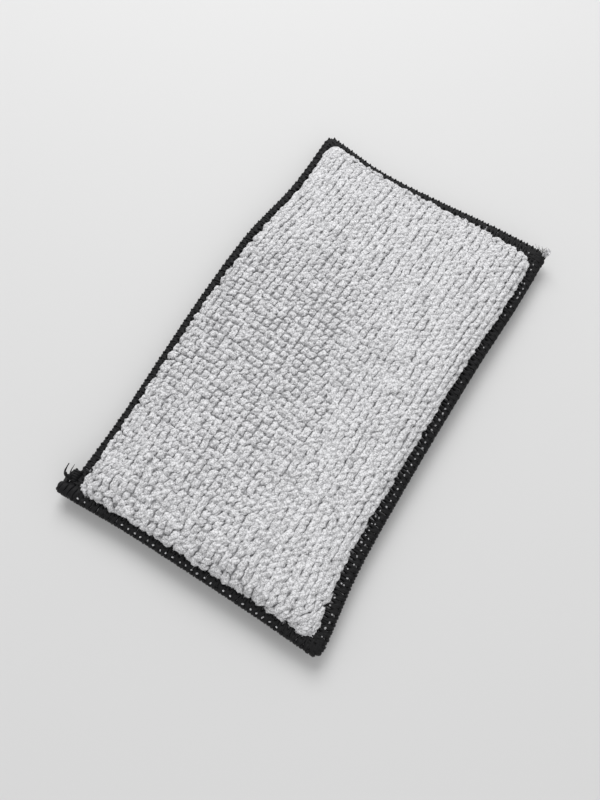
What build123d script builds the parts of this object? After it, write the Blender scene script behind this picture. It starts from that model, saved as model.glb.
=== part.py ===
from build123d import *
import os

# Polishing pad: two faces of looped microfibre terry over a foam core, joined all round by a
# three-thread overlock seam that stands out from the pad's sides at about a third of its height.
#
# Frame: +X along the pad's length, +Y across it, +Z up. The origin is under the pad's middle, on
# the surface that it rests on. All sizes are in millimetres.

# ---- Driving dimensions ----
pad_length = 150.0  # between the sharp corners of the seam's outer edge, along X
pad_width = 86.0  # the same, along Y
pad_height = 15.0  # from the resting face to the top face
seam_height = 5.5  # where the two cloths meet in the seam, above the resting face
end_bow = 1.7  # how far the seam pulls each short end in at its middle
side_bow = 1.9  # how far the seam pulls each long side in at its middle
seam_corner_radius = 4.0  # of the seam's outer edge, in plan
face_corner_radius = 5.5  # of the padded faces, in plan

cloth_thickness = 2.6  # ground knit with its loops, over the foam
allowance_thickness = 1.1  # one cloth, pressed flat inside the seam
seam_width = 4.5  # from the seam's outer edge to the foot of the padded face
seam_rounding = 1.2  # of the seam's outer edge, seen end on
looper_thickness = 0.5  # the looper threads' cover over the cloth
needle_diameter = 0.5  # the needle thread
needle_inset = 4.0  # from the seam's outer edge to the needle line
foam_clearance = 0.1  # between the foam and the cloths
thread_clearance = 0.05  # between threads that only lie on each other
tail_diameter = 1.3  # the chain of three threads that hangs on where the seam starts and ends
tail_turn = 1.2  # bend radius of a tail's middle line
start_tail_reach = 3.0  # how far each leg of the seam's first chain runs
end_tail_length = 8.0  # of the seam's last chain

# ---- Sizes that follow ----
top_rise = pad_height - seam_height
seam_top = allowance_thickness + looper_thickness  # above the mid-plane of the seam
straight_foot = seam_top + needle_diameter + thread_clearance  # height of the faces' upright foot
fillet_margin = 0.2  # keeps a shoulder inside its plan corner and its wall


def outline(inset, radius):
    """The pad's plan, drawn in by inset from the seam's outer edge: bowed sides and round corners."""
    x = pad_length / 2 - inset
    y = pad_width / 2 - inset
    sides = [
        ThreePointArc((x, y), (0, y - side_bow), (-x, y)),
        ThreePointArc((-x, y), (end_bow - x, 0), (-x, -y)),
        ThreePointArc((-x, -y), (0, side_bow - y), (x, -y)),
        ThreePointArc((x, -y), (x - end_bow, 0), (x, y)),
    ]
    plan = make_face(sides)
    return fillet(plan.vertices(), radius)


def padded(inset, rise, radius):
    """One padded half, from the seam's mid-plane up: an upright foot and a round shoulder."""
    block = extrude(outline(inset, radius), rise)
    rim = block.faces().sort_by(Axis.Z)[-1].edges()
    shoulder = min(rise - straight_foot, radius) - fillet_margin
    return fillet(rim, max(shoulder, fillet_margin))


def upper(shape):
    """Moves a half that is drawn from height 0 up onto the seam's mid-plane."""
    return Pos(0, 0, seam_height) * shape


def lower(shape):
    """The same half, hanging under the seam's mid-plane."""
    return Pos(0, 0, seam_height) * mirror(shape, about=Plane.XY)


def face_half(rise):
    """Outside of one padded face, with its corner radius in plan."""
    return padded(seam_width, rise, face_corner_radius)


def hollow_half(rise, clearance):
    """Inside of one padded face, or the foam in it when there is a clearance."""
    depth = cloth_thickness + clearance
    return padded(seam_width + depth, rise - depth, face_corner_radius - depth)


def allowance():
    """The flat seam allowance of one cloth, which ends inside the looper threads' cover."""
    return extrude(outline(looper_thickness, seam_corner_radius - looper_thickness), allowance_thickness)


def cloth(rise):
    """One cloth: a padded shell over the foam with its seam allowance all round."""
    return allowance() + face_half(rise) - hollow_half(rise, 0)


def looper_thread():
    """One looper thread's cover: over the allowance from the face's foot and round its edge."""
    whole = extrude(outline(0, seam_corner_radius), seam_top)
    rim = whole.faces().sort_by(Axis.Z)[-1].edges()
    middle = extrude(outline(seam_width - thread_clearance, face_corner_radius + thread_clearance), seam_top)
    return fillet(rim, seam_rounding) - middle - allowance()


def needle_thread():
    """The needle thread, lying on the upper looper along the needle line."""
    radius = face_corner_radius + seam_width - needle_inset
    height = seam_height + seam_top + thread_clearance + needle_diameter / 2
    path = Pos(0, 0, height) * outline(needle_inset, radius).face().outer_wire()
    start = path.location_at(0)
    return sweep(Plane(start.position, z_dir=path.tangent_at(0)) * Circle(needle_diameter / 2), path)


def tail(points):
    """A short chain of twisted thread: a round bar through the points, with turned corners."""
    path = FilletPolyline(*points, radius=tail_turn)
    return sweep(Plane(path @ 0, z_dir=path % 0) * Circle(tail_diameter / 2), path)


def tail_height():
    """Middle of a chain that lies on the seam, outside the needle thread."""
    return seam_height + seam_top + thread_clearance + tail_diameter / 2


def start_tail():
    """The seam's first chain, which lies on the long side's seam by the (-X, +Y) corner and stands up."""
    x = -pad_length / 2 + seam_width + tail_diameter / 2
    y = pad_width / 2 - needle_inset / 2
    z = tail_height()
    tip = (x - tail_diameter, y + tail_diameter / 2, z + start_tail_reach)
    return tail([(x + start_tail_reach, y, z), (x, y, z), tip])


def end_tail():
    """The seam's last chain, which lies on the short end's seam and reaches the same corner's edge."""
    x = -pad_length / 2 + needle_inset / 2
    y = pad_width / 2
    z = tail_height()
    half = end_tail_length / 2
    return tail([(x + end_bow / 2, y - end_tail_length, z), (x, y - half, z), (x, y, z + tail_diameter / 2)])


nodes = {
    "top_cloth": upper(cloth(top_rise)),
    "bottom_cloth": lower(cloth(seam_height)),
    "foam_core": upper(hollow_half(top_rise, foam_clearance)) + lower(hollow_half(seam_height, foam_clearance)),
    "upper_looper_thread": upper(looper_thread()),
    "lower_looper_thread": lower(looper_thread()),
    "needle_thread": needle_thread(),
    "seam_start_tail": start_tail(),
    "seam_end_tail": end_tail(),
}

os.makedirs("parts", exist_ok=True)
for name, shape in nodes.items():
    export_step(shape, f"parts/{name}.step")
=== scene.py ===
"""Polishing pad: looped microfibre terry over foam, overlocked all round with black thread.

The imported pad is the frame. Every piece here is built in its space, from its sizes.
"""

import math
from functools import partial

import bmesh
import bpy
import numpy as np
from bpy.props import FloatProperty, FloatVectorProperty, PointerProperty
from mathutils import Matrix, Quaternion, Vector


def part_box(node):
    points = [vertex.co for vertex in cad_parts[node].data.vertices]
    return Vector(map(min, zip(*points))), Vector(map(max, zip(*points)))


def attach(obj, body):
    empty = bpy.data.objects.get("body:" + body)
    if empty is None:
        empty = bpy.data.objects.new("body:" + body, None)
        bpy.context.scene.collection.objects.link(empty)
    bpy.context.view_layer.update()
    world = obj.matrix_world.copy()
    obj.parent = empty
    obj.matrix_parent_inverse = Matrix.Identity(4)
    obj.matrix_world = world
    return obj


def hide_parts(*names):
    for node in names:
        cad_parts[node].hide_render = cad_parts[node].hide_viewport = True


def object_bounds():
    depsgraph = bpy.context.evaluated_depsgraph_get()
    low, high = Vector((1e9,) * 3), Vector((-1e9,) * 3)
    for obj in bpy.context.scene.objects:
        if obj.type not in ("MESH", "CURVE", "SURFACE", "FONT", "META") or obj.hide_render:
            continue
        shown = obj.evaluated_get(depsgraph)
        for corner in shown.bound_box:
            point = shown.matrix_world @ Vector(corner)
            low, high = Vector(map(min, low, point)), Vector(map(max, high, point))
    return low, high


bl_info = {
    "name": "Polishing pad",
    "version": (1, 0, 0),
    "blender": (4, 5, 0),
    "location": "View3D > Sidebar > Polishing pad",
    "description": "Builds a double-sided terry polishing pad around its packed frame",
    "category": "Add Mesh",
}

MM = 0.001
BODY = "root"
SEED = 7

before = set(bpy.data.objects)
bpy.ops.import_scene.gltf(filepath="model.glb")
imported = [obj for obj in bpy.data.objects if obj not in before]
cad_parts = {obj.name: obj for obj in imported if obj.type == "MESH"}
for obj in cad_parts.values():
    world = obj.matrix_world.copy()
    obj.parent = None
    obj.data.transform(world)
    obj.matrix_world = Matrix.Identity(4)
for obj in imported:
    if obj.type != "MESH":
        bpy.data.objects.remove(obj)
CAD_LOW, CAD_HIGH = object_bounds()
SEAM_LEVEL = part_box("bottom_cloth")[1].z  # where the two cloths meet in the seam
PAD_TOP = CAD_HIGH.z
FLOOR_GAP = 0.02 * MM  # left between the floor and the lowest threads

STORE = {}  # the two cloths, as grids and as pieces, for the operators that follow theirs


# ---- Sizes and colours that a user would change ----


def linear(code):
    """Turns an sRGB hex colour into the linear RGB that shaders take."""
    shares = [int(code[k : k + 2], 16) / 255 for k in (1, 3, 5)]
    return [c / 12.92 if c <= 0.04045 else ((c + 0.055) / 1.055) ** 2.4 for c in shares]


def length_value(name, description, size):
    """A length that a user can change, from its size in millimetres."""
    return FloatProperty(name=name, description=description, default=size * MM, unit="LENGTH")


def angle_value(name, description, degrees):
    """An angle that a user can change, from its size in degrees."""
    return FloatProperty(name=name, description=description, default=math.radians(degrees), subtype="ANGLE")


def place_value(name, description, place):
    """A place that a user can change, from its coordinates in millimetres."""
    metres = [size * MM for size in place]
    return FloatVectorProperty(name=name, description=description, default=metres, size=3, unit="LENGTH")


def colour_value(name, description, code):
    """A colour that a user can change, from its sRGB hex code."""
    limits = {"size": 3, "min": 0, "max": 1, "subtype": "COLOR"}
    return FloatVectorProperty(name=name, description=description, default=linear(code), **limits)


class PadForm(bpy.types.PropertyGroup):
    """Outline and padding of the pad."""

    length: length_value("Length", "Between the sharp corners of the seam's outer edge, along X", 150)
    width: length_value("Width", "Between the sharp corners of the seam's outer edge, along Y", 86)
    corner: length_value("Corner radius", "Of the seam's outer edge, in plan", 3.6)
    seam_width: length_value("Seam width", "From the seam's outer edge to the foot of the padded face", 4.3)
    shoulder: length_value("Shoulder", "How far the padded face curves down to the seam, in plan", 8.5)
    crown: FloatProperty(
        name="Crown",
        description="Share by which the face falls from its middle to its sides",
        default=0.12,
        min=0,
        max=0.5,
        subtype="FACTOR",
    )
    swell: length_value("Swell", "The most that the foam's pressure moves a point of the cloth", 1.1)
    cloth: length_value("Ground cloth", "Thickness of the knitted ground under the loops", 0.6)


class LoopPile(bpy.types.PropertyGroup):
    """The looped pile of both faces."""

    pitch: length_value("Pitch", "Distance between loops, along and across the knitted rows", 2.34)
    height: length_value("Height", "Of a loop, from its bulk's beginning to its top", 2.1)
    sunk: length_value("Sunk", "How deep in the ground cloth a loop's bulk begins", 0.6)
    yarn: length_value("Yarn radius", "Of a loop's whole fluffed yarn: each of its plies is thinner", 1.1)
    lumps: length_value("Lumps", "Twice the most that noise moves the yarn off a smooth tube", 1.5)
    skew: angle_value("Skew", "How far the knit's columns lean from square", 6)


class OverlockSeam(bpy.types.PropertyGroup):
    """The three threads of the overlock seam."""

    stitch: length_value("Stitch length", "Distance between stitches along the seam's outer edge", 2.1)
    half: length_value("Half thickness", "From the seam's mid-plane to the outside of its threads", 1.65)
    looper: length_value("Looper strand", "Radius of one strand of a looper thread", 0.42)
    needle: length_value("Needle thread", "Radius of the needle thread", 0.26)


class Finishes(bpy.types.PropertyGroup):
    """Colours of the materials."""

    yarn: colour_value("Pile yarn", "Tips of the microfibre loops", "#E0E0E2")
    # Pile root is painted shade: a darker colour for the yarn low between the loops and for the ground
    # cloth, where shade falls.
    root: colour_value("Pile root", "The yarn down between the loops", "#B8B8BA")
    thread: colour_value("Seam thread", "The dyed overlock thread", "#0B0B0D")
    foam: colour_value("Foam", "The foam core", "#EDE8D6")
    floor: colour_value("Floor", "The plain floor", "#CCCCCC")


class Studio(bpy.types.PropertyGroup):
    """Camera."""

    eye: place_value("Camera place", "Where the camera stands", (-89.2, -30.7, 202.5))
    target: place_value("Camera target", "The point that the camera looks at", (-15.3, -0.6, 5.5))
    roll: angle_value("Camera roll", "How far the camera is turned about its line of sight", 10.34)
    lens: FloatProperty(
        name="Lens", description="Focal length on a frame 36 mm high", default=31.5, unit="CAMERA"
    )


# ---- Small helpers ----


def add_node(tree, kind, settings=None, **inputs):
    """Adds a node, sets its properties, and sets or links its inputs by their identifiers.

    An input that is given a whole node is linked to the first output that this node has in use.
    """
    node = tree.nodes.new(kind)
    for name, value in (settings or {}).items():
        setattr(node, name, value)
    sockets = {socket.identifier.replace(" ", "_"): socket for socket in node.inputs}
    for name, value in inputs.items():
        if isinstance(value, bpy.types.Node):
            value = next(socket for socket in value.outputs if socket.enabled)
        if isinstance(value, bpy.types.NodeSocket):
            tree.links.new(value, sockets[name])
        else:
            sockets[name].default_value = value
    return node


def mesh_object(name, points, faces=(), edges=()):
    """A new mesh object in the scene, from points in metres."""
    mesh = bpy.data.meshes.new(name)
    mesh.from_pydata([tuple(p) for p in points], [tuple(e) for e in edges], [tuple(f) for f in faces])
    mesh.update()
    made = bpy.data.objects.new(name, mesh)
    bpy.context.scene.collection.objects.link(made)
    return made


def baked(piece):
    """Replaces the piece's mesh by what its modifiers make of it, and drops them."""
    bpy.context.view_layer.update()
    evaluated = piece.evaluated_get(bpy.context.evaluated_depsgraph_get())
    plain = bpy.data.meshes.new_from_object(evaluated)
    plain.name = piece.name
    piece.modifiers.clear()
    piece.data = plain
    return piece


def softened(piece):
    """Rounds a closed piece off by one subdivision, turns its faces outwards and shades them smooth."""
    soft = piece.modifiers.new("Soft", "SUBSURF")
    soft.levels = soft.render_levels = 1
    baked(piece)
    work = bmesh.new()
    work.from_mesh(piece.data)
    bmesh.ops.remove_doubles(work, verts=work.verts, dist=0.001 * MM)
    bmesh.ops.recalc_face_normals(work, faces=work.faces)
    work.to_mesh(piece.data)
    work.free()
    piece.data.shade_smooth()


def finish_piece(piece, material, replaces=()):
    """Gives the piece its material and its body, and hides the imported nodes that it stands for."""
    piece.data.materials.clear()
    piece.data.materials.append(material)
    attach(piece, BODY)
    if replaces:
        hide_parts(*replaces)
    return piece


# ---- Plan of the pad, as sewn ----

# How far the seam strays outwards from a straight side, in mm, at even steps along that side: the
# two long sides from -X to +X and the two short ends from -Y to +Y.
STRAY = {
    "back": (-2.6, -1.9, 0.1, 1.8, 2.4, 0.4, 1.3),
    "front": (1.3, -1.3, -1.8, -1.6, -1.0, 0.2, 0.6),
    "left": (1.0, 0.6, 0.6, 0.8, 1.8),
    "right": (1.6, 1.0, -0.2, -0.8, 2.2),
}

# How far the padded faces then stand outwards from a seam of even width, in mm, at the same steps.
# Below 0, the seam is wider there.
BULGE = {
    "back": (0.2, 1.0, 1.1, 1.0, 0.4, 0.3, 0.8),
    "front": (-0.6, -1.3, -0.8, -0.5, -0.2, 0.2, 0.0),
    "left": (0.8, 0.9, 1.3, 1.1, 1.2),
    "right": (-2.4, -1.6, -0.6, 0.2, 0.4),
}
BULGE_FOOT = 0.3  # share of a face's rise over which its bulge grows to full
CORNER_START, CORNER_SPAN = 1.85, 0.15  # where the wider seam of a corner begins, and how soon it is full
FRONT_RIGHT_EXTRA, CORNER_EXTRA = 0.7, 0.35  # how much wider the seam is there and at the other corners


def along_side(values, share):
    """A smooth curve through evenly spaced values, at shares from 0 to 1 of the side."""
    values = np.array(values)
    last = len(values) - 1
    place = np.clip(share, 0, 1) * last
    i = np.minimum(place.astype(int), last - 1)
    t = place - i
    before, here, there, after = (values[np.clip(i + k, 0, last)] for k in (-1, 0, 1, 2))
    slope, next_slope = (there - before) / 2, (after - here) / 2
    bend = 2 * (here - there) + slope + next_slope
    return here + slope * t + (3 * (there - here) - 2 * slope - next_slope) * t**2 + bend * t**3


def side_values(form, x, y, sides):
    """What the curves of the four sides give at a plan point, across and along the pad, in metres."""
    across, along = 2 * np.asarray(x, float) / form.length, 2 * np.asarray(y, float) / form.width
    share_x, share_y = (across + 1) / 2, (along + 1) / 2
    ends = np.where(across > 0, along_side(sides["right"], share_y), along_side(sides["left"], share_y))
    longs = np.where(along > 0, along_side(sides["back"], share_x), along_side(sides["front"], share_x))
    return ends * MM, longs * MM, across, along


def as_sewn(form, x, y):
    """Moves plan points of the straight-sided pad to where the real seam pulls them."""
    ends, longs, across, along = side_values(form, x, y, STRAY)
    return x + ends * across, y + longs * along


def bulged(form, x, y, level):
    """Moves plan points of a padded face as its bulge does: outwards only above its foot."""
    ends, longs, across, along = side_values(form, x, y, BULGE)
    lift = np.clip(level / BULGE_FOOT, 0, 1)
    ends = np.where(ends > 0, ends * lift, ends)
    longs = np.where(longs > 0, longs * lift, longs)
    return x + ends * across, y + longs * along


def seam_reach(form, x, y):
    """How many times wider than usual the seam is at a place on its edge."""
    ends, longs, across, along = side_values(form, x, y, BULGE)
    narrower = np.where(np.abs(across) > np.abs(along), -ends, -longs)
    corner = np.clip((np.abs(across) + np.abs(along) - CORNER_START) / CORNER_SPAN, 0, 1)
    extra = np.where((across > 0) & (along < 0), FRONT_RIGHT_EXTRA, CORNER_EXTRA)
    return 1 + np.maximum(narrower, 0) / form.seam_width + extra * corner


def seam_level(x, y):
    """Height of the seam's mid-plane: it ripples a little where the thread draws the edge in."""
    ripple = 0.35 * np.sin(x / (19 * MM) + 1.1) + 0.25 * np.sin(y / (11 * MM) - x / (34 * MM))
    return SEAM_LEVEL + ripple * MM


# ---- The padded faces ----


def shoulder_steps(half, form, rise, count):
    """Even steps along the cloth from the middle to the foot: their plan places and relative rises."""
    turn = np.linspace(0, math.pi / 2, 200)
    flat = half - form.shoulder
    place = np.concatenate([[0], flat + form.shoulder * np.sin(turn)])
    level = np.concatenate([[1], np.cos(turn)])
    level = level * (1 - form.crown * (place / half) ** 2)
    walked = np.concatenate([[0], np.cumsum(np.hypot(np.diff(place), rise * np.diff(level)))])
    steps = np.linspace(0, walked[-1], count + 1)
    return np.interp(steps, walked, place), np.interp(steps, walked, level), walked[-1]


def face_grid(form, pitch, rise):
    """Points of one padded face, one for each loop of the knit, above the seam's mid-plane.

    The grid follows the cloth, so its steps are as long down the shoulders as on the flat.
    """
    sides = []
    for whole in (form.length, form.width):
        half = whole / 2 - form.seam_width
        length = shoulder_steps(half, form, rise, 1)[2]
        count = round(length / pitch)
        place, level, _ = shoulder_steps(half, form, rise, count)
        sides.append((np.concatenate([-place[:0:-1], place]), np.concatenate([level[:0:-1], level])))
    (x, level_x), (y, level_y) = sides
    grid_x, grid_y = np.meshgrid(x, y, indexing="ij")
    height = rise * np.outer(level_x, level_y)
    sewn_x, sewn_y = bulged(form, *as_sewn(form, grid_x, grid_y), height / rise)
    return np.stack([sewn_x, sewn_y, height + seam_level(grid_x, grid_y)], axis=-1)


def grid_faces(columns, rows, start=0, turned=False):
    """Quads over a grid of points that are numbered row by row."""
    faces = []
    for i in range(columns - 1):
        for j in range(rows - 1):
            a = start + i * rows + j
            quad = (a, a + rows, a + rows + 1, a + 1)
            faces.append(quad[::-1] if turned else quad)
    return faces


def rim_order(columns, rows):
    """Grid numbers of the rim, once round."""
    numbers = np.arange(columns * rows).reshape(columns, rows)
    runs = (numbers[0], numbers[1:, -1], numbers[-1, -2::-1], numbers[-2:0:-1, 0])
    return np.concatenate(runs).tolist()


def pillow(name, top, bottom):
    """A closed form from an upper and a lower grid with the same numbering."""
    columns, rows = top.shape[:2]
    count = columns * rows
    points = np.concatenate([top.reshape(-1, 3), bottom.reshape(-1, 3)])
    faces = grid_faces(columns, rows) + grid_faces(columns, rows, count, turned=True)
    rim = rim_order(columns, rows)
    for a, b in zip(rim, rim[1:] + rim[:1]):
        faces.append((a, b, b + count, a + count))
    return mesh_object(name, points, faces), rim


# Blender's cloth, as light elastic knit that the foam's pressure fills out.
CLOTH_SETTINGS = {
    "quality": 6,
    "mass": 0.15,
    "tension_stiffness": 12,
    "compression_stiffness": 12,
    "shear_stiffness": 4,
    "bending_stiffness": 0.4,
    "use_pressure": True,
    "uniform_pressure_force": 4,
}
SWELL_FRAMES = 20
PRESSED = 0.9  # share of the loops' stand that is left where the pad rests on them
SOFT_CHANGE = 0.5 * MM  # between where the pad rests and where it doesn't


def swollen(form, top, bottom):
    """Lets the foam's pressure swell the two cloths, held at the seam, and returns their grids."""
    shape, rim = pillow("swelling", top, bottom)
    start = np.concatenate([top.reshape(-1, 3), bottom.reshape(-1, 3)])
    count = top.shape[0] * top.shape[1]
    held = shape.vertex_groups.new(name="seam")
    held.add(rim + [r + count for r in rim], 1.0, "REPLACE")
    cloth = shape.modifiers.new("Cloth", "CLOTH")
    for name, value in CLOTH_SETTINGS.items():
        setattr(cloth.settings, name, value)
    cloth.settings.vertex_group_mass = held.name
    cloth.settings.effector_weights.gravity = 0
    cloth.point_cache.frame_start = 1
    cloth.point_cache.frame_end = SWELL_FRAMES
    for number in range(1, SWELL_FRAMES + 1):
        bpy.context.scene.frame_set(number)
    evaluated = shape.evaluated_get(bpy.context.evaluated_depsgraph_get())
    moved = np.zeros(start.size)
    evaluated.data.vertices.foreach_get("co", moved)
    bpy.context.scene.frame_set(1)
    step = moved.reshape(-1, 3) - start
    length = np.linalg.norm(step, axis=1, keepdims=True)
    step *= np.minimum(1, form.swell / np.maximum(length, 1e-9))
    bpy.data.objects.remove(shape)
    after = start + step
    return after[:count].reshape(top.shape), after[count:].reshape(bottom.shape)


def grid_normals(grid, sign):
    """Outward directions of a grid's points: sign is 1 on the upper face and -1 on the lower."""
    normal = np.cross(np.gradient(grid, axis=0), np.gradient(grid, axis=1)) * sign
    return normal / np.linalg.norm(normal, axis=-1, keepdims=True)


def laid_flat(grid, level):
    """Presses a grid flat where the pad rests, with a soft change to where it doesn't."""
    low = grid[..., 2] - level
    grid[..., 2] = level + SOFT_CHANGE * np.logaddexp(0, low / SOFT_CHANGE)
    return grid


def cloth_grids():
    """The upper and the lower ground cloth as grids of points, swollen by the foam."""
    form, pile = bpy.context.scene.pad_form, bpy.context.scene.pad_pile
    stand = pile.height - pile.sunk
    rise = PAD_TOP - SEAM_LEVEL - stand - form.cloth - form.swell
    fall = SEAM_LEVEL - stand
    top = face_grid(form, pile.pitch, rise)
    bottom = face_grid(form, pile.pitch, rise)
    level = seam_level(bottom[..., 0], bottom[..., 1])
    bottom[..., 2] = level - (bottom[..., 2] - level) * fall / rise
    top[..., 2] += form.cloth
    bottom[..., 2] -= form.cloth
    top, bottom = swollen(form, top, bottom)
    return top, laid_flat(bottom, stand * PRESSED)


def on_grid(grid, u, v):
    """Values of a grid between its points, at places counted in steps of the grid."""
    columns, rows = grid.shape[:2]
    i = np.clip(u.astype(int), 0, columns - 2)
    j = np.clip(v.astype(int), 0, rows - 2)
    s, t = (u - i)[:, None], (v - j)[:, None]
    low = grid[i, j] * (1 - t) + grid[i, j + 1] * t
    high = grid[i + 1, j] * (1 - t) + grid[i + 1, j + 1] * t
    return low * (1 - s) + high * s


# ---- Materials ----


def new_material(name):
    """A material with an empty tree, and what adds a node to it."""
    material = bpy.data.materials.new(name)
    material.use_nodes = True
    material.node_tree.nodes.clear()
    return material, partial(add_node, material.node_tree)


def microfibre_terry(name, tip, root):
    """Split polyester and nylon microfibre, knitted in loops and brushed up.

    Its fibres are far finer than the yarn, so it has no gloss, a pale sheen at grazing angles and
    a fuzz that is drawn 0.15 mm wide, coarse enough to show. Its colour carries painted shade: it
    darkens from the tip colour to the root colour low between the loops, and along thin dark lines
    of painted shade for the gaps between the yarn's curls.
    """
    material, add = new_material(name)
    place = add("ShaderNodeTexCoord").outputs["Object"]
    height = add("ShaderNodeAttribute", {"attribute_name": "rise"}).outputs["Fac"]
    tone = add("ShaderNodeAttribute", {"attribute_name": "tone"}).outputs["Fac"]
    # Painted shade: the colour runs from the root colour, low in a loop, to the tip colour above it, by each
    # point's rise.
    lit = add("ShaderNodeMapRange", Value=height, From_Min=0.5 * MM, From_Max=1.3 * MM)
    # Painted shade: thin dark lines where the noise is near its middle, for the shaded gaps between the
    # yarn's curls.
    curl = add("ShaderNodeTexNoise", Vector=place, Scale=1 / (0.9 * MM), Detail=1.0)
    away = add("ShaderNodeMath", {"operation": "SUBTRACT"}, Value=curl, Value_001=0.5)
    apart = add("ShaderNodeMath", {"operation": "ABSOLUTE"}, Value=away)
    painted_crack_shade = add("ShaderNodeMapRange", Value=apart, From_Max=0.08, To_Min=0.48)
    ends = {"A_Color": (*root, 1.0), "B_Color": (*tip, 1.0)}
    mix = add("ShaderNodeMix", {"data_type": "RGBA"}, Factor_Float=lit, **ends)
    shade = add("ShaderNodeMapRange", Value=tone, To_Min=0.95, To_Max=1.03)
    patch = add("ShaderNodeTexNoise", Vector=place, Scale=1 / (9 * MM), Detail=3.0)
    drift = add("ShaderNodeMapRange", Value=patch, To_Min=0.97, To_Max=1.03)
    both = add("ShaderNodeMath", {"operation": "MULTIPLY"}, Value=shade, Value_001=drift)
    light = add("ShaderNodeMath", {"operation": "MULTIPLY"}, Value=both, Value_001=painted_crack_shade)
    colour = add("ShaderNodeVectorMath", {"operation": "SCALE"}, Vector=mix, Scale=light)
    strands = add("ShaderNodeTexNoise", Vector=place, Scale=1 / (1.0 * MM), Detail=2.0)
    curled = add("ShaderNodeBump", Height=strands, Strength=0.9, Distance=0.75 * MM)
    fuzz = add("ShaderNodeTexNoise", Vector=place, Scale=1 / (0.15 * MM), Detail=4.0)
    bump = add("ShaderNodeBump", Height=fuzz, Normal=curled, Strength=0.7, Distance=0.12 * MM)
    dull = {"Roughness": 0.95, "Specular_IOR_Level": 0.15, "Sheen_Weight": 0.25, "Sheen_Roughness": 0.6}
    skin = add("ShaderNodeBsdfPrincipled", Base_Color=colour, Normal=bump, **dull)
    add("ShaderNodeOutputMaterial", Surface=skin)
    return material


def grained_material(name, colour, grain, shades, relief, finish):
    """A material whose one texture shades its colour and roughens its surface.

    The grain is a texture node's kind, settings, inputs and the output that is read.
    """
    material, add = new_material(name)
    place = add("ShaderNodeTexCoord").outputs["Object"]
    kind, settings, values, reading = grain
    read = add(kind, settings, Vector=place, **values).outputs[reading]
    shade = add("ShaderNodeMapRange", Value=read, **shades)
    tint = add("ShaderNodeVectorMath", {"operation": "SCALE"}, Vector=colour, Scale=shade)
    bump = add("ShaderNodeBump", Height=read, **relief)
    skin = add("ShaderNodeBsdfPrincipled", Base_Color=tint, Normal=bump, **finish)
    add("ShaderNodeOutputMaterial", Surface=skin)
    return material


def knitted_ground(name, colour):
    """The warp-knitted ground of the terry: matte, with ribs about 1.6 mm apart."""
    bands = {"wave_type": "BANDS", "bands_direction": "X"}
    ribs = ("ShaderNodeTexWave", bands, {"Scale": 1 / (5 * MM), "Distortion": 3.0, "Detail": 2.0}, "Fac")
    relief = {"Strength": 0.6, "Distance": 0.2 * MM}
    finish = {"Roughness": 0.95, "Specular_IOR_Level": 0.15, "Sheen_Weight": 0.2}
    return grained_material(name, colour, ribs, {"To_Min": 0.7, "To_Max": 1.1}, relief, finish)


def textured_polyester(name, colour):
    """Bulked polyester overlock thread, dyed black in the mass.

    Its crimped filaments scatter light into a soft, dull sheen, so it is never a flat black.
    """
    crimp = ("ShaderNodeTexNoise", {}, {"Scale": 1 / (0.22 * MM), "Detail": 4.0}, "Fac")
    relief = {"Strength": 0.8, "Distance": 0.1 * MM}
    finish = {"Roughness": 0.6, "Specular_IOR_Level": 0.25, "Sheen_Weight": 0.03, "Sheen_Roughness": 0.5}
    return grained_material(name, colour, crimp, {"To_Min": 0.45, "To_Max": 1.7}, relief, finish)


def open_cell_foam(name, colour):
    """Soft open-cell polyurethane foam: matte, with cells about 0.8 mm across."""
    walls = {"feature": "DISTANCE_TO_EDGE"}
    cells = ("ShaderNodeTexVoronoi", walls, {"Scale": 1 / (0.8 * MM)}, "Distance")
    relief = {"Strength": 0.7, "Distance": 0.2 * MM}
    finish = {"Roughness": 0.9, "Specular_IOR_Level": 0.2}
    return grained_material(name, colour, cells, {"From_Max": 0.3, "To_Min": 0.75}, relief, finish)


def terry_material():
    """The pile's material, made once."""
    finishes = bpy.context.scene.pad_finishes
    found = bpy.data.materials.get("microfibre_terry")
    return found or microfibre_terry("microfibre_terry", finishes.yarn, finishes.root)


def thread_material():
    """The seam threads' material, made once."""
    found = bpy.data.materials.get("textured_polyester")
    return found or textured_polyester("textured_polyester", bpy.context.scene.pad_finishes.thread)


# ---- Yarn and thread, repeated by Geometry Nodes ----

# What the repeat tree is given, and the kinds of its sockets.
REPEAT_INPUTS = {
    "Points": "Geometry",
    "Path": "Object",
    "Yarn radius": "Float",
    "Sides": "Int",
    "Turn spread": "Vector",
    "Size spread": "Float",
    "Lumps": "Float",
    "Lump size": "Float",
    "Floor": "Float",
    "Seed": "Int",
    "Material": "Material",
}


def strands_of(count, steps, spot):
    """Strands of yarn: what a function of a strand's number and a share of its length gives."""
    return [[spot(number, k / (steps - 1)) for k in range(steps)] for number in range(count)]


def yarn_path(name, strands):
    """An edge mesh of open strands: each is a list of (point, relative thickness)."""
    points, edges, thick = [], [], []
    for strand in strands:
        first = len(points)
        for point, width in strand:
            points.append(point)
            thick.append(width)
        edges += [(i, i + 1) for i in range(first, len(points) - 1)]
    made = mesh_object(name, points, edges=edges)
    made.data.attributes.new("thick", "FLOAT", "POINT").data.foreach_set("value", thick)
    made.hide_render = True
    return made


def place_points(name, points, up, along, size):
    """A mesh of bare points that says where and how each repeat stands."""
    made = mesh_object(name, points)
    for attribute, values in (("up", up), ("along", along), ("size", size)):
        data = made.data.attributes.new(attribute, "FLOAT_VECTOR", "POINT").data
        data.foreach_set("vector", np.asarray(values, np.float32).ravel())
    return made


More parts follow.
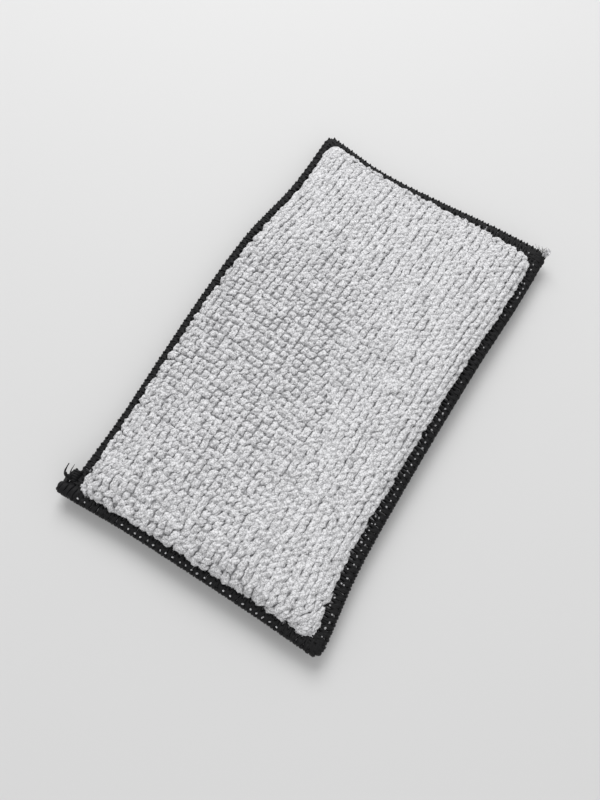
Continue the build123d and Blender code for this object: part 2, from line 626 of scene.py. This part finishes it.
def repeat_tree():
    """A Geometry Nodes tree that bends yarn along a path and stands it on each point of a mesh."""
    found = bpy.data.node_groups.get("Repeat yarn on points")
    if found:
        return found
    tree = bpy.data.node_groups.new("Repeat yarn on points", "GeometryNodeTree")
    for name, kind in REPEAT_INPUTS.items():
        tree.interface.new_socket(name=name, in_out="INPUT", socket_type=f"NodeSocket{kind}")
    tree.interface.new_socket(name="Mesh", in_out="OUTPUT", socket_type="NodeSocketGeometry")
    add = partial(add_node, tree)
    given = add("NodeGroupInput").outputs
    vector = {"data_type": "FLOAT_VECTOR"}

    path = add("GeometryNodeObjectInfo", {"transform_space": "ORIGINAL"}, Object=given["Path"])
    line = add("GeometryNodeMeshToCurve", Mesh=path.outputs["Geometry"])
    circle = {"Resolution": given["Sides"], "Radius": given["Yarn radius"]}
    ring = add("GeometryNodeCurvePrimitiveCircle", {"mode": "RADIUS"}, **circle)
    thick = add("GeometryNodeInputNamedAttribute", {"data_type": "FLOAT"}, Name="thick")
    sweep = {"Curve": line, "Profile_Curve": ring, "Scale": thick, "Fill_Caps": True}
    yarn = add("GeometryNodeCurveToMesh", **sweep)
    # Each point's height in its loop, stored as rise: the terry material turns it into painted shade low
    # between the loops.
    spot = add("GeometryNodeInputPosition")
    level = add("ShaderNodeSeparateXYZ", Vector=spot).outputs["Z"]
    on_points = {"data_type": "FLOAT", "domain": "POINT"}
    risen = add_node(
        tree, "GeometryNodeStoreNamedAttribute", on_points, Geometry=yarn, Name="rise", Value=level
    )

    up = add("GeometryNodeInputNamedAttribute", vector, Name="up")
    along = add("GeometryNodeInputNamedAttribute", vector, Name="along")
    size = add("GeometryNodeInputNamedAttribute", vector, Name="size")
    stand = add("FunctionNodeAlignRotationToVector", {"axis": "Z"}, Vector=up)
    about_up = {"axis": "X", "pivot_axis": "Z"}
    face = add("FunctionNodeAlignRotationToVector", about_up, Rotation=stand, Vector=along)
    most_turn = given["Turn spread"]
    back = add("ShaderNodeVectorMath", {"operation": "SCALE"}, Vector=most_turn, Scale=-1.0)
    turn = add("FunctionNodeRandomValue", vector, Min=back, Max=most_turn, Seed=given["Seed"])
    angle = add("FunctionNodeEulerToRotation", Euler=turn)
    local = {"rotation_space": "LOCAL"}
    lean = add("FunctionNodeRotateRotation", local, Rotation=face, Rotate_By=angle)
    both = {"Value": 1.0, "Value_001": given["Size spread"]}
    least = add("ShaderNodeMath", {"operation": "SUBTRACT"}, **both)
    most = add("ShaderNodeMath", {"operation": "ADD"}, **both)
    grow = add("FunctionNodeRandomValue", vector, Min=least, Max=most, Seed=given["Seed"])
    scale = add("ShaderNodeVectorMath", {"operation": "MULTIPLY"}, Vector=size, Vector_001=grow)
    stood = {"Points": given["Points"], "Instance": risen, "Rotation": lean, "Scale": scale}
    copies = add("GeometryNodeInstanceOnPoints", **stood)
    tone = add("FunctionNodeRandomValue", {"data_type": "FLOAT"}, Seed=given["Seed"])
    on_copies = {"data_type": "FLOAT", "domain": "INSTANCE"}
    toned = add_node(
        tree, "GeometryNodeStoreNamedAttribute", on_copies, Geometry=copies, Name="tone", Value=tone
    )
    real = add("GeometryNodeRealizeInstances", Geometry=toned)

    place = add("GeometryNodeInputPosition")
    lump = given["Lump size"]
    fineness = add("ShaderNodeMath", {"operation": "DIVIDE"}, Value=1.0, Value_001=lump)
    noise = add("ShaderNodeTexNoise", Vector=place, Scale=fineness, Detail=1.0).outputs["Color"]
    middle = {"Vector": noise, "Vector_001": (0.5, 0.5, 0.5)}
    centred = add("ShaderNodeVectorMath", {"operation": "SUBTRACT"}, **middle)
    stray = add_node(
        tree, "ShaderNodeVectorMath", {"operation": "SCALE"}, Vector=centred, Scale=given["Lumps"]
    )
    rough = add("GeometryNodeSetPosition", Geometry=real, Offset=stray)
    lowest = add("ShaderNodeCombineXYZ", X=-1.0, Y=-1.0, Z=given["Floor"])
    here = add("GeometryNodeInputPosition")
    raised = add("ShaderNodeVectorMath", {"operation": "MAXIMUM"}, Vector=here, Vector_001=lowest)
    rested = add("GeometryNodeSetPosition", Geometry=rough, Position=raised)
    smooth = add("GeometryNodeSetShadeSmooth", Geometry=rested)
    whole = add("GeometryNodeRealizeInstances", Geometry=smooth)
    dressed = add("GeometryNodeSetMaterial", Geometry=whole, Material=given["Material"])
    end = add("NodeGroupOutput")
    tree.links.new(dressed.outputs["Geometry"], end.inputs["Mesh"])
    return tree


def yarn_piece(name, slot, placed, path, look, nodes=(), seed=SEED):
    """Stands a path of yarn on every place, and finishes the result as one piece.

    The slot says whether it is pile or seam thread. The look sets inputs of the repeat tree.
    """
    tree = repeat_tree()
    material = terry_material() if slot == "terry_cloth" else thread_material()
    piece = place_points(name, *placed)
    modifier = piece.modifiers.new("Repeat", "NODES")
    modifier.node_group = tree
    sockets = {s.name: s.identifier for s in tree.interface.items_tree if s.in_out == "INPUT"}
    values = {"Path": path, "Material": material, "Sides": 6, "Floor": FLOOR_GAP, "Seed": seed}
    for given, value in (values | look).items():
        modifier[sockets[given]] = value
    piece.update_tag()
    return finish_piece(baked(piece), material, nodes)


# ---- Foam and ground cloths ----

ALLOWANCE_INSET = 0.5 * MM  # from the seam's outer edge to the cloth's, under the threads
# How far out each ring of a seam allowance lies, as a share of the seam's width, and how high over
# the seam's mid-plane, in mm.
ALLOWANCE_RINGS = ((0.35, 0.8), (0.7, 0.65), (0.92, 0.45), (1.0, 0.1))
FOAM_DEPTH = 1.4  # how far under a cloth's outside the foam begins, in thicknesses of the ground


def flange_rings(form, grid, sign):
    """Rings of points out to the seam's edge, where the cloth lies under thread, round a face's foot."""
    columns, rows = grid.shape[:2]
    half = np.array([form.length / 2 - form.seam_width, form.width / 2 - form.seam_width])
    flat = [np.linspace(-reach, reach, count) for reach, count in zip(half, (columns, rows))]
    plan = np.stack(np.meshgrid(*flat, indexing="ij"), axis=-1).reshape(-1, 2)[rim_order(columns, rows)]
    edge = form.seam_width - ALLOWANCE_INSET
    radius = form.corner - ALLOWANCE_INSET
    rings = []
    for share, level in ALLOWANCE_RINGS:
        spot = plan + np.sign(plan) * edge * share * (np.abs(plan) > half - 1e-6)
        reach = half + edge * share - radius
        over = np.abs(spot) - reach
        turned = (over > 0).all(axis=1, keepdims=True)
        away = np.maximum(np.hypot(over[:, :1], over[:, 1:]), 1e-9)
        pulled = np.sign(spot) * (reach + over * np.minimum(1, radius / away))
        x, y = np.where(turned, pulled, spot).T
        rings.append(np.stack([*as_sewn(form, x, y), seam_level(x, y) + sign * level * MM], axis=-1))
    return rings


def ground_cloth(name, form, grid, sign):
    """One ground cloth: the padded face and its seam allowance, with a thickness."""
    columns, rows = grid.shape[:2]
    rings = flange_rings(form, grid, sign)
    faces = grid_faces(columns, rows, turned=sign < 0)
    inner = rim_order(columns, rows)
    for number in range(len(rings)):
        start = columns * rows + number * len(inner)
        outer = list(range(start, start + len(inner)))
        for a, b, c, d in zip(inner, outer, outer[1:] + outer[:1], inner[1:] + inner[:1]):
            faces.append((a, b, c, d) if sign < 0 else (d, c, b, a))
        inner = outer
    piece = mesh_object(name, np.concatenate([grid.reshape(-1, 3), *rings]), faces)
    wall = piece.modifiers.new("Thickness", "SOLIDIFY")
    wall.thickness = form.cloth
    wall.offset = -1
    softened(piece)
    return piece


class PAD_OT_foam_filling(bpy.types.Operator):
    """Makes the foam that fills the pad, swollen against the cloths"""

    bl_idname = "pad.foam_filling"
    bl_label = "Foam filling"

    def execute(self, context):
        form = context.scene.pad_form
        top, bottom = cloth_grids()
        STORE["top"], STORE["bottom"] = top, bottom
        inner_top = top - grid_normals(top, 1) * form.cloth * FOAM_DEPTH
        inner_bottom = bottom - grid_normals(bottom, -1) * form.cloth * FOAM_DEPTH
        trim = (slice(1, -1), slice(1, -1))
        piece, _ = pillow("foam_filling", inner_top[trim], inner_bottom[trim])
        softened(piece)
        material = open_cell_foam("open_cell_foam", context.scene.pad_finishes.foam)
        finish_piece(piece, material, ["foam_core"])
        return {"FINISHED"}


class PAD_OT_ground_cloths(bpy.types.Operator):
    """Makes the knitted ground of the upper and the lower cloth"""

    bl_idname = "pad.ground_cloths"
    bl_label = "Ground cloths"

    def execute(self, context):
        # The ground takes the pile root colour, painted shade for the ground that lies in shade under the
        # loops.
        material = knitted_ground("knitted_ground", context.scene.pad_finishes.root)
        for face, sign in (("top", 1), ("bottom", -1)):
            piece = ground_cloth(f"{face}_ground_cloth", context.scene.pad_form, STORE[face], sign)
            finish_piece(piece, material, [f"{face}_cloth"])
            STORE[piece.name] = piece
        return {"FINISHED"}


# ---- Loop pile ----

PLIES = 3
PLY_LIE = 0.52  # from a loop's middle line to a ply's, as a share of the yarn's radius
PLY_RADIUS = 0.62  # as the same share
HALF_SPAN = 1.0 * MM  # of a loop, along its row
PARTS = 4  # pieces that each face's pile is made in

# Random strays of a loop, in steps of the knit: along and across its row, and at the pile's edge.
STRAY_ALONG, STRAY_ACROSS, STRAY_EDGE = 0.06, 0.05, 0.2
EDGE_SHARE = 0.94  # of the way out from the middle, where the pile's edge begins
# Radius of the pile's corners in plan, in steps of the knit.
FRONT_RIGHT, BACK_LEFT, BACK_RIGHT, FRONT_LEFT = 5.3, 2.8, 2.0, 1.3
SPLAY = 0.35  # how far the outermost loops lean outwards


def loop_path(pile):
    """One fluffed loop: an arch of three plies, twisted, along its row."""
    lie = pile.yarn * PLY_LIE

    def spot(ply, share):
        """A point of one ply, and its thickness."""
        turn = math.pi * (0.06 + 0.88 * share)
        twist = math.pi * (1.1 * share + 2 * ply / PLIES)
        arch = 1.3 * math.sin(turn) ** 0.4 - 0.3
        y = 0.2 * MM * math.sin(2 * turn) + lie * math.cos(twist)
        z = (pile.height - pile.yarn) * arch + 0.4 * lie * math.sin(twist)
        return (-HALF_SPAN * math.cos(turn), y, z), 0.9 + 0.1 * math.sin(turn)

    return yarn_path("loop_path", strands_of(PLIES, 7, spot))


def knit_points(form, pile, grid, sign, rng):
    """Where each loop of a face stands, with its direction and size.

    Rows run along X. Towards the front and +X the loops are long and merge into wavering rows, and over
    the rest they stand apart, each in its own cell of the knit.
    """
    columns, rows = grid.shape[:2]
    middle_u, middle_v = (columns - 1) / 2, (rows - 1) / 2
    places = []
    for i in range(-4, columns + 4):
        for j in range(rows):
            places.append((i + (j - middle_v) * math.tan(pile.skew), j))
    u, v = np.array(places, float).T
    wave = 0.12 * np.sin(u * 1.1 + 0.7 * v) + 0.10 * np.sin(u * 0.43 - 0.9 * v)
    u = u + rng.normal(0, STRAY_ALONG, len(u))
    v = v + wave * 0.5 + rng.normal(0, STRAY_ACROSS, len(v))
    inside = (u > 0.2) & (u < columns - 1.2) & (v > 0.2) & (v < rows - 1.2)
    right, back = u > middle_u, v > middle_v
    corners = [right & ~back, ~right & back, right & back]
    rounding = np.select(corners, [FRONT_RIGHT, BACK_LEFT, BACK_RIGHT], FRONT_LEFT)
    over_u = np.abs(u - middle_u) - (middle_u - rounding)
    over_v = np.abs(v - middle_v) - (middle_v - rounding)
    cut = (over_u > 0) & (over_v > 0) & (np.hypot(over_u, over_v) > rounding - 0.1)
    keep = inside & ~cut
    u, v = u[keep], v[keep]
    share_u, share_v = (u - middle_u) / middle_u, (v - middle_v) / middle_v
    outermost = np.maximum(np.abs(share_u), np.abs(share_v)) > EDGE_SHARE
    u = u + outermost * rng.normal(0, STRAY_EDGE, len(u))
    v = v + outermost * rng.normal(0, STRAY_EDGE, len(v))
    points = on_grid(grid, u, v)
    normal = on_grid(grid_normals(grid, sign), u, v)
    up = normal.copy()
    for axis, share in enumerate((share_u, share_v)):
        up[:, axis] += SPLAY * np.sign(share) * np.abs(share) ** 6
    apart = 0.95 - 0.9 * np.maximum(-share_v, 0) - np.maximum(share_u - 0.1, 0) - 0.5 * share_u**2
    apart = np.clip(apart, 0, 1)
    angle = rng.normal(0, 0.15 + 0.15 * apart)
    along = np.stack([np.cos(angle), np.sin(angle), np.zeros(len(u))], axis=-1)
    size = np.ones((len(u), 3))
    size[:, 0] = (1.45 - 0.6 * apart) * rng.uniform(0.85, 1.15, len(u))
    size[:, 2] += (0.03 + 0.05 * apart) * rng.normal(0, 1, len(u)).clip(-1.5, 1.5)
    return points - normal * pile.sunk, up, along, size


class PAD_OT_loop_pile(bpy.types.Operator):
    """Stands a loop of fluffed yarn on every stitch of both cloths"""

    bl_idname = "pad.loop_pile"
    bl_label = "Loop pile"

    def execute(self, context):
        form, pile = context.scene.pad_form, context.scene.pad_pile
        rng = np.random.default_rng(SEED)
        path = loop_path(pile)
        look = {
            "Yarn radius": pile.yarn * PLY_RADIUS,
            "Turn spread": (0.12, 0.12, 0.12),
            "Size spread": 0.06,
            "Lumps": pile.lumps,
            "Lump size": 1.0 * MM,
        }
        for face, sign in (("top", 1), ("bottom", -1)):
            laid = knit_points(form, pile, STORE[face], sign, rng)
            for part, chosen in enumerate(np.array_split(np.arange(len(laid[0])), PARTS)):
                placed = [values[chosen] for values in laid]
                name = f"{face}_loops_{part + 1}"
                yarn_piece(name, "terry_cloth", placed, path, look, seed=SEED + part)
        bpy.data.objects.remove(path)
        return {"FINISHED"}


# ---- Overlock seam ----

NOTCH, OVERRUN = 3.4 * MM, 1.6 * MM  # where the seam starts after its first corner, and runs on past it
UPPER_WRAP, LOWER_WRAP = 0.15 * MM, 0.6 * MM  # how far a looper thread reaches round the seam's edge


def seam_line(form, step):
    """The seam's outer edge, from its start by the (-X, +Y) corner once round to that corner's end.

    It is walked clockwise, seen from above. The start leaves a notch and the end runs on past the
    corner, as the real seam does.
    """
    x, y, r = form.length / 2, form.width / 2, form.corner
    runs = [
        ("line", (-x + NOTCH, y), (x - r, y)),
        ("turn", (x - r, y - r), 90),
        ("line", (x, y - r), (x, r - y)),
        ("turn", (x - r, r - y), 0),
        ("line", (x - r, -y), (r - x, -y)),
        ("turn", (r - x, r - y), -90),
        ("line", (-x, r - y), (-x, y + OVERRUN)),
    ]
    dense = []
    for kind, a, b in runs:
        if kind == "line":
            count = max(2, int(math.dist(a, b) / (0.2 * MM)))
            for k in range(count):
                dense.append((a[0] + (b[0] - a[0]) * k / count, a[1] + (b[1] - a[1]) * k / count))
        else:
            for k in range(30):
                angle = math.radians(b - 3 * k)
                dense.append((a[0] + r * math.cos(angle), a[1] + r * math.sin(angle)))
    sewn = np.stack(as_sewn(form, *np.array(dense).T), axis=-1)
    walked = np.concatenate([[0], np.cumsum(np.linalg.norm(np.diff(sewn, axis=0), axis=1))])

    def places(stops):
        """Plan points at these distances along the seam."""
        return np.stack([np.interp(stops, walked, sewn[:, k]) for k in (0, 1)], axis=-1)

    count = round(walked[-1] / step)
    stops = (np.arange(count) + 0.5) * walked[-1] / count
    place = places(stops)
    along = places(stops + step / 2) - places(stops - step / 2)
    along /= np.linalg.norm(along, axis=1, keepdims=True)
    points = np.column_stack([place, seam_level(place[:, 0], place[:, 1])])
    return points, np.column_stack([along, np.zeros(count)])


def round_the_edge(distance, half):
    """Where a thread lies that is some distance from the edge's middle, measured over the seam.

    Returns how far in it is and how high: over a round edge and then along the seam's flat top.
    """
    quarter = math.pi / 2 * half
    if distance < quarter:
        turn = distance / half
        return -half * (1 - math.cos(turn)), half * math.sin(turn)
    return -half - (distance - quarter), half


def looper_path(name, form, seam, side, wrap):
    """One looper stitch: a leg from the needle line to the edge and a leg back.

    Each leg is two strands of bulked thread, twisted round each other, over a fuller one.
    """
    lie = seam.half - seam.looper
    reach = form.seam_width - lie + math.pi / 2 * lie

    def spot(ply, share):
        """A point of one strand, and its thickness."""
        y, z = round_the_edge(-wrap + (reach + wrap) * abs(2 * share - 1), lie)
        turn = math.pi * (3 * share + ply)
        spread, lift, width = 0.6 * math.cos(turn), 0.55 * math.sin(turn), 0.95
        if ply == 2:
            spread, lift, width = 0, -1.3, 1.1
        x = seam.stitch * (share - 0.5) + spread * seam.looper
        return (x, y - 1.2 * seam.looper, side * (z + lift * seam.looper)), width

    return yarn_path(name, strands_of(3, 17, spot))


def needle_path(form, seam):
    """One stitch of the needle thread: it lies on the loopers and dips at each end."""

    def spot(_, share):
        """A point of the stitch, and its thickness."""
        z = seam.half + seam.needle * 0.6 - 0.9 * MM * (2 * share - 1) ** 6
        return (seam.stitch * (share - 0.5), -form.seam_width + 0.35 * MM, z), 1.0

    return yarn_path("needle_path", strands_of(1, 9, spot))


class PAD_OT_overlock_seam(bpy.types.Operator):
    """Sews the three threads of the overlock seam round the pad"""

    bl_idname = "pad.overlock_seam"
    bl_label = "Overlock seam"

    def execute(self, context):
        form, seam = context.scene.pad_form, context.scene.pad_seam
        points, along = seam_line(form, seam.stitch)
        up = np.tile([0.0, 0.0, 1.0], (len(points), 1))
        size = np.ones((len(points), 3))
        size[:, 1] = seam_reach(form, points[:, 0], points[:, 1])
        upper = looper_path("upper_path", form, seam, 1, UPPER_WRAP)
        lower = looper_path("lower_path", form, seam, -1, LOWER_WRAP)
        needle = needle_path(form, seam)
        spreads = {"Turn spread": (0.05, 0.03, 0.10), "Size spread": 0.05}
        look = spreads | {"Lumps": 0.35 * MM, "Lump size": 1.3 * MM}
        for name, path, radius, shift, node in (
            ("upper_looper_stitches", upper, seam.looper, 0, "upper_looper_thread"),
            ("lower_looper_stitches", lower, seam.looper, seam.stitch / 2, "lower_looper_thread"),
            ("needle_stitches", needle, seam.needle, 0, "needle_thread"),
        ):
            placed = points + along * shift, up, along, size
            yarn_piece(name, "seam_thread", placed, path, look | {"Yarn radius": radius}, [node])
            bpy.data.objects.remove(path)
        return {"FINISHED"}


# ---- Ends, caught pile and frayed corner ----

# White pile that shows between the stitches: the side it is on, its stretch along that side, how far
# it lies from the seam's outer edge (measured over the thread), all in mm, and how often it shows.
PEEKS = (
    ("front", -70, 10, 2.1, 0.8),
    ("front", 10, 48, 2.1, 0.25),
    ("front", 48, 70, 2.1, 0.7),
    ("front", -62, -30, 2.95, 0.75),
    ("front", -14, -3, 2.95, 0.6),
    ("front", 50, 68, 2.95, 0.2),
    ("left", -32, 20, 1.4, 0.85),
    ("left", -36, -24, 3.0, 0.7),
    ("left", 20, 38, 1.6, 0.2),
    ("right", -40, 40, 3.2, 0.2),
    ("back", -72, -64, 3.0, 0.8),
    ("back", -64, 70, 3.4, 0.15),
)
PEEK_LIFT = 0.35 * MM  # how far the pile's roots stand out over the threads' middle lines

# The cut ends at the seam's start: how far each reaches from the knot along X, Y and Z, how far it
# arches off its straight way, all in mm, and its thickness as a share of the thread's.
CUT_ENDS = (
    (2.6, 2.3, 3.0, 1.6, 1.0),
    (1.9, -0.2, 3.2, 0.9, 0.9),
    (3.2, 1.2, 1.7, 0.9, 0.6),
    (0.4, 1.9, 1.2, 0.5, 0.8),
)
TUFT_STRANDS, HAIRS = 12, 14
LOOSE = (0.3, 0.3, 1.5)  # the most that a loose strand of the corner turns about X, Y and Z
# One place for a knot or a chain that is drawn where it lies: its point, up, along and size.
AS_DRAWN = [(0.0, 0.0, 0.0)], [(0, 0, 1.0)], [(1.0, 0, 0)], [(1.0, 1.0, 1.0)]


def straight_path(name, length, bend, thin):
    """A short free end of yarn that bends over and thins out."""

    def spot(_, share):
        """A point of the end, and its thickness."""
        return (bend * share * share, 0.0, length * share), 1 - thin * share**2

    return yarn_path(name, strands_of(1, 7, spot))


def end_chain(low, high):
    """The seam's last chain: three threads, turned round each other in a fat lobe, within a box."""

    def spot(ply, share):
        """A point of one thread, and its thickness."""
        turn = 2 * math.pi * (4.5 * share + ply / 3) * (-1 if ply == 1 else 1)
        swell = math.sin(math.pi * min(1, 0.12 + 0.80 * share)) ** 0.45
        x = low.x - 1.2 * MM * share + 1.9 * MM * swell * math.cos(turn)
        y = low.y + 1.0 * MM + (high.y - low.y - 1.6 * MM) * share
        return (x, y, SEAM_LEVEL + 0.2 * MM + 1.45 * MM * swell * math.sin(turn)), 1.0

    return strands_of(3, 61, spot)


def start_knot(low):
    """The seam's start: the cut ends of its threads, and a knot of two threads, by a box's corner."""
    knot_x, knot_y, knot_z = low.x + 0.4 * MM, low.y + 0.2 * MM, SEAM_LEVEL + 1.7 * MM

    def cut_end(number, share):
        """A point of one cut end, and its thickness."""
        out_x, out_y, out_z, arch, width = CUT_ENDS[number]
        x = knot_x + (out_x * share - arch * math.sin(math.pi * share)) * MM
        y = knot_y + (out_y * share + 0.4 * arch * math.sin(math.pi * share)) * MM
        return (x, y, knot_z + out_z * MM * share**0.8), width * (1.15 - 0.85 * share**1.5)

    def knotted(ply, share):
        """A point of one thread of the knot, and its thickness."""
        turn = 2 * math.pi * (2.5 * share + ply / 2)
        y = knot_y - 0.2 * MM + 0.9 * MM * math.cos(turn)
        z = knot_z - 0.5 * MM + 0.8 * MM * math.sin(turn)
        return (knot_x - 0.9 * MM + 3.6 * MM * share, y, z), 1.0

    return strands_of(len(CUT_ENDS), 11, cut_end) + strands_of(2, 25, knotted)


def peek_points(form, seam, rng):
    """Where bits of white pile come out between the stitches, on both sides of the seam."""
    points, along = seam_line(form, seam.stitch)
    inward = np.cross(along, [0, 0, 1.0]) * seam_reach(form, points[:, 0], points[:, 1])[:, None]
    lie = seam.half - seam.looper
    places, ups = [], []
    for side, start, end, distance, share in PEEKS:
        for point, ahead, into in zip(points, along, inward):
            if abs(ahead[1]) > 0.7:
                here, travel = ("left" if point[0] < 0 else "right"), point[1]
            else:
                here, travel = ("front" if point[1] < 0 else "back"), point[0]
            if here != side or not start * MM < travel < end * MM:
                continue
            for face in (1, -1):
                if rng.random() > (share if face == 1 else share / 2):
                    continue
                y, z = round_the_edge(distance * MM + rng.normal(0, 0.12) * MM, lie)
                step = rng.normal(0.5, 0.06) * seam.stitch
                where = point + ahead * step + into * -(y - 1.2 * seam.looper)
                where[2] += face * (z + PEEK_LIFT)
                places.append(where)
                turn = min(distance * MM / lie, math.pi / 2)
                ups.append(-into * math.cos(turn) + np.array([0, 0, face * math.sin(turn)]))
    return np.array(places), np.array(ups)


def standing(roots, ways):
    """Places for strands of full size that grow out of their roots, each its own way."""
    return roots, ways, np.tile([0, 0, 1.0], (len(roots), 1)), np.ones((len(roots), 3))


def add_detail(name, slot, placed, path, radius, lumps, turns=(0, 0, 0), sides=6, nodes=()):
    """Adds one piece of short ends, chain or knot, and removes the path that it follows."""
    look = {
        "Yarn radius": radius,
        "Sides": sides,
        "Turn spread": turns,
        "Size spread": 0.15 if any(turns) else 0.0,
        "Lumps": lumps,
        "Lump size": 0.9 * MM,
    }
    yarn_piece(name, slot, placed, path, look, nodes)
    bpy.data.objects.remove(path)


class PAD_OT_seam_details(bpy.types.Operator):
    """Adds the thread ends, the bits of pile caught in the seam and the frayed corner"""

    bl_idname = "pad.seam_details"
    bl_label = "Seam details"

    def execute(self, context):
        form, seam = context.scene.pad_form, context.scene.pad_seam
        rng = np.random.default_rng(SEED + 20)
        path = yarn_path("seam_end_lobe_path", end_chain(*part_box("seam_end_tail")))
        stands_for = ["seam_end_tail"]
        add_detail("seam_end_lobe", "seam_thread", AS_DRAWN, path, 0.5 * MM, 0.6 * MM, nodes=stands_for)
        path = yarn_path("seam_start_tuft_path", start_knot(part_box("seam_start_tail")[0]))
        stands_for = ["seam_start_tail"]
        add_detail("seam_start_tuft", "seam_thread", AS_DRAWN, path, 0.42 * MM, 0.3 * MM, nodes=stands_for)

        places, ups = peek_points(form, seam, rng)
        along = np.tile([1.0, 0.3, 0.0], (len(places), 1))
        placed = places, ups, along, rng.uniform(0.75, 1.25, (len(places), 3))
        path = straight_path("peek_path", 0.5 * MM, 0.15 * MM, 0.1)
        add_detail("pile_in_the_seam", "terry_cloth", placed, path, 0.24 * MM, 0.15 * MM, (0.4, 0.4, 1.5))

        corner = np.array([*(float(v) for v in as_sewn(form, form.length / 2, -form.width / 2)), SEAM_LEVEL])
        corner += np.array([-1.5, 1.5, 0.3]) * MM
        ways = rng.normal(0, 0.35, (TUFT_STRANDS, 3)) + np.array([0.25, -0.6, 0.8])
        roots = corner + (rng.normal(0, 0.4, (TUFT_STRANDS, 3)) + (0.2, -0.3, 0.6)) * MM
        path = straight_path("tuft_path", 1.1 * MM, 0.6 * MM, 0.2)
        placed = standing(roots, ways)
        add_detail("corner_pile_tuft", "terry_cloth", placed, path, 0.75 * MM, 0.4 * MM, LOOSE)

        roots = corner + rng.normal(0, 1.0, (HAIRS, 3)) * (MM, MM, 0.3 * MM) + (0, 1.2 * MM, 0)
        ways = rng.normal(0, 0.45, (HAIRS, 3)) + np.array([0.7, 0.2, 0.3])
        path = straight_path("hair_path", 2.1 * MM, 1.1 * MM, 0.6)
        placed = standing(roots, ways)
        add_detail("corner_thread_hairs", "seam_thread", placed, path, 0.08 * MM, 0.3 * MM, LOOSE, sides=4)
        return {"FINISHED"}


# ---- Floor, lamps and camera ----

FLOOR_HALF = 1.5  # half of the floor's side, in metres
# The lamps' names, places and widths in metres, and powers in watts.
LAMPS = (
    ("key_lamp", (0.38, 0.28, 0.62), 0.5, 4.8),
    ("fill_lamp", (-0.5, -0.45, 0.6), 0.8, 1.7),
)
SKY_COLOUR, SKY_STRENGTH = "#F3F3F3", 0.62


def plain_material(name, colour, rough):
    """A matte, even finish for the floor."""
    material, add = new_material(name)
    skin = add("ShaderNodeBsdfPrincipled", Base_Color=(*colour, 1.0), Roughness=rough)
    add("ShaderNodeOutputMaterial", Surface=skin)
    return material


def area_lamp(name, place, size, power):
    """A soft square lamp that faces the pad."""
    data = bpy.data.lights.new(name, "AREA")
    data.size = size
    data.energy = power
    lamp = bpy.data.objects.new(name, data)
    bpy.context.scene.collection.objects.link(lamp)
    lamp.location = place
    lamp.rotation_euler = (-Vector(place)).to_track_quat("-Z", "Y").to_euler()


class PAD_OT_studio(bpy.types.Operator):
    """Sets up the floor, the soft lamps and the camera"""

    bl_idname = "pad.studio"
    bl_label = "Studio"

    def execute(self, context):
        scene = context.scene
        studio = scene.pad_studio
        corners = [(FLOOR_HALF * x, FLOOR_HALF * y, 0) for x, y in ((-1, -1), (1, -1), (1, 1), (-1, 1))]
        floor = mesh_object("studio_floor", corners, [(0, 1, 2, 3)])
        floor.data.materials.append(plain_material("matte_floor", scene.pad_finishes.floor, 0.9))
        for lamp in LAMPS:
            area_lamp(*lamp)
        scene.world = bpy.data.worlds.new("Studio")
        scene.world.use_nodes = True
        sky = scene.world.node_tree.nodes["Background"].inputs
        sky["Color"].default_value = (*linear(SKY_COLOUR), 1.0)
        sky["Strength"].default_value = SKY_STRENGTH
        scene.view_settings.view_transform = "Standard"

        data = bpy.data.cameras.new("camera")
        data.lens = studio.lens
        data.sensor_width = 36
        data.clip_start = 0.01
        camera = bpy.data.objects.new("camera", data)
        scene.collection.objects.link(camera)
        camera.location = studio.eye
        sight = Vector(studio.target) - Vector(studio.eye)
        camera.rotation_mode = "QUATERNION"
        camera.rotation_quaternion = sight.to_track_quat("-Z", "Y") @ Quaternion((0, 0, 1), studio.roll)
        scene.camera = camera
        return {"FINISHED"}


# ---- Panel and registration ----


class VIEW3D_PT_polishing_pad(bpy.types.Panel):
    """Lists the pad's pieces and their sizes"""

    bl_label = "Polishing pad"
    bl_space_type = "VIEW_3D"
    bl_region_type = "UI"
    bl_category = "Polishing pad"

    def draw(self, context):
        for group in ("pad_form", "pad_pile", "pad_seam", "pad_finishes", "pad_studio"):
            box = self.layout.box()
            values = getattr(context.scene, group)
            for name in values.__annotations__:
                box.prop(values, name)
        for operator in OPERATORS:
            self.layout.operator(operator.bl_idname)


GROUPS = {
    "pad_form": PadForm,
    "pad_pile": LoopPile,
    "pad_seam": OverlockSeam,
    "pad_finishes": Finishes,
    "pad_studio": Studio,
}
OPERATORS = (
    PAD_OT_foam_filling,
    PAD_OT_ground_cloths,
    PAD_OT_loop_pile,
    PAD_OT_overlock_seam,
    PAD_OT_seam_details,
    PAD_OT_studio,
)


def register():
    """Registers the classes, and their values on the scene."""
    for name, group in GROUPS.items():
        bpy.utils.register_class(group)
        setattr(bpy.types.Scene, name, PointerProperty(type=group))
    for operator in OPERATORS:
        bpy.utils.register_class(operator)
    bpy.utils.register_class(VIEW3D_PT_polishing_pad)


def unregister():
    """Removes what register() added."""
    bpy.utils.unregister_class(VIEW3D_PT_polishing_pad)
    for operator in reversed(OPERATORS):
        bpy.utils.unregister_class(operator)
    for name, group in reversed(GROUPS.items()):
        delattr(bpy.types.Scene, name)
        bpy.utils.unregister_class(group)


def main():
    """Builds every piece."""
    register()
    bpy.ops.pad.foam_filling()
    bpy.ops.pad.ground_cloths()
    bpy.ops.pad.loop_pile()
    bpy.ops.pad.overlock_seam()
    bpy.ops.pad.seam_details()
    bpy.ops.pad.studio()


if __name__ == "__main__":
    main()
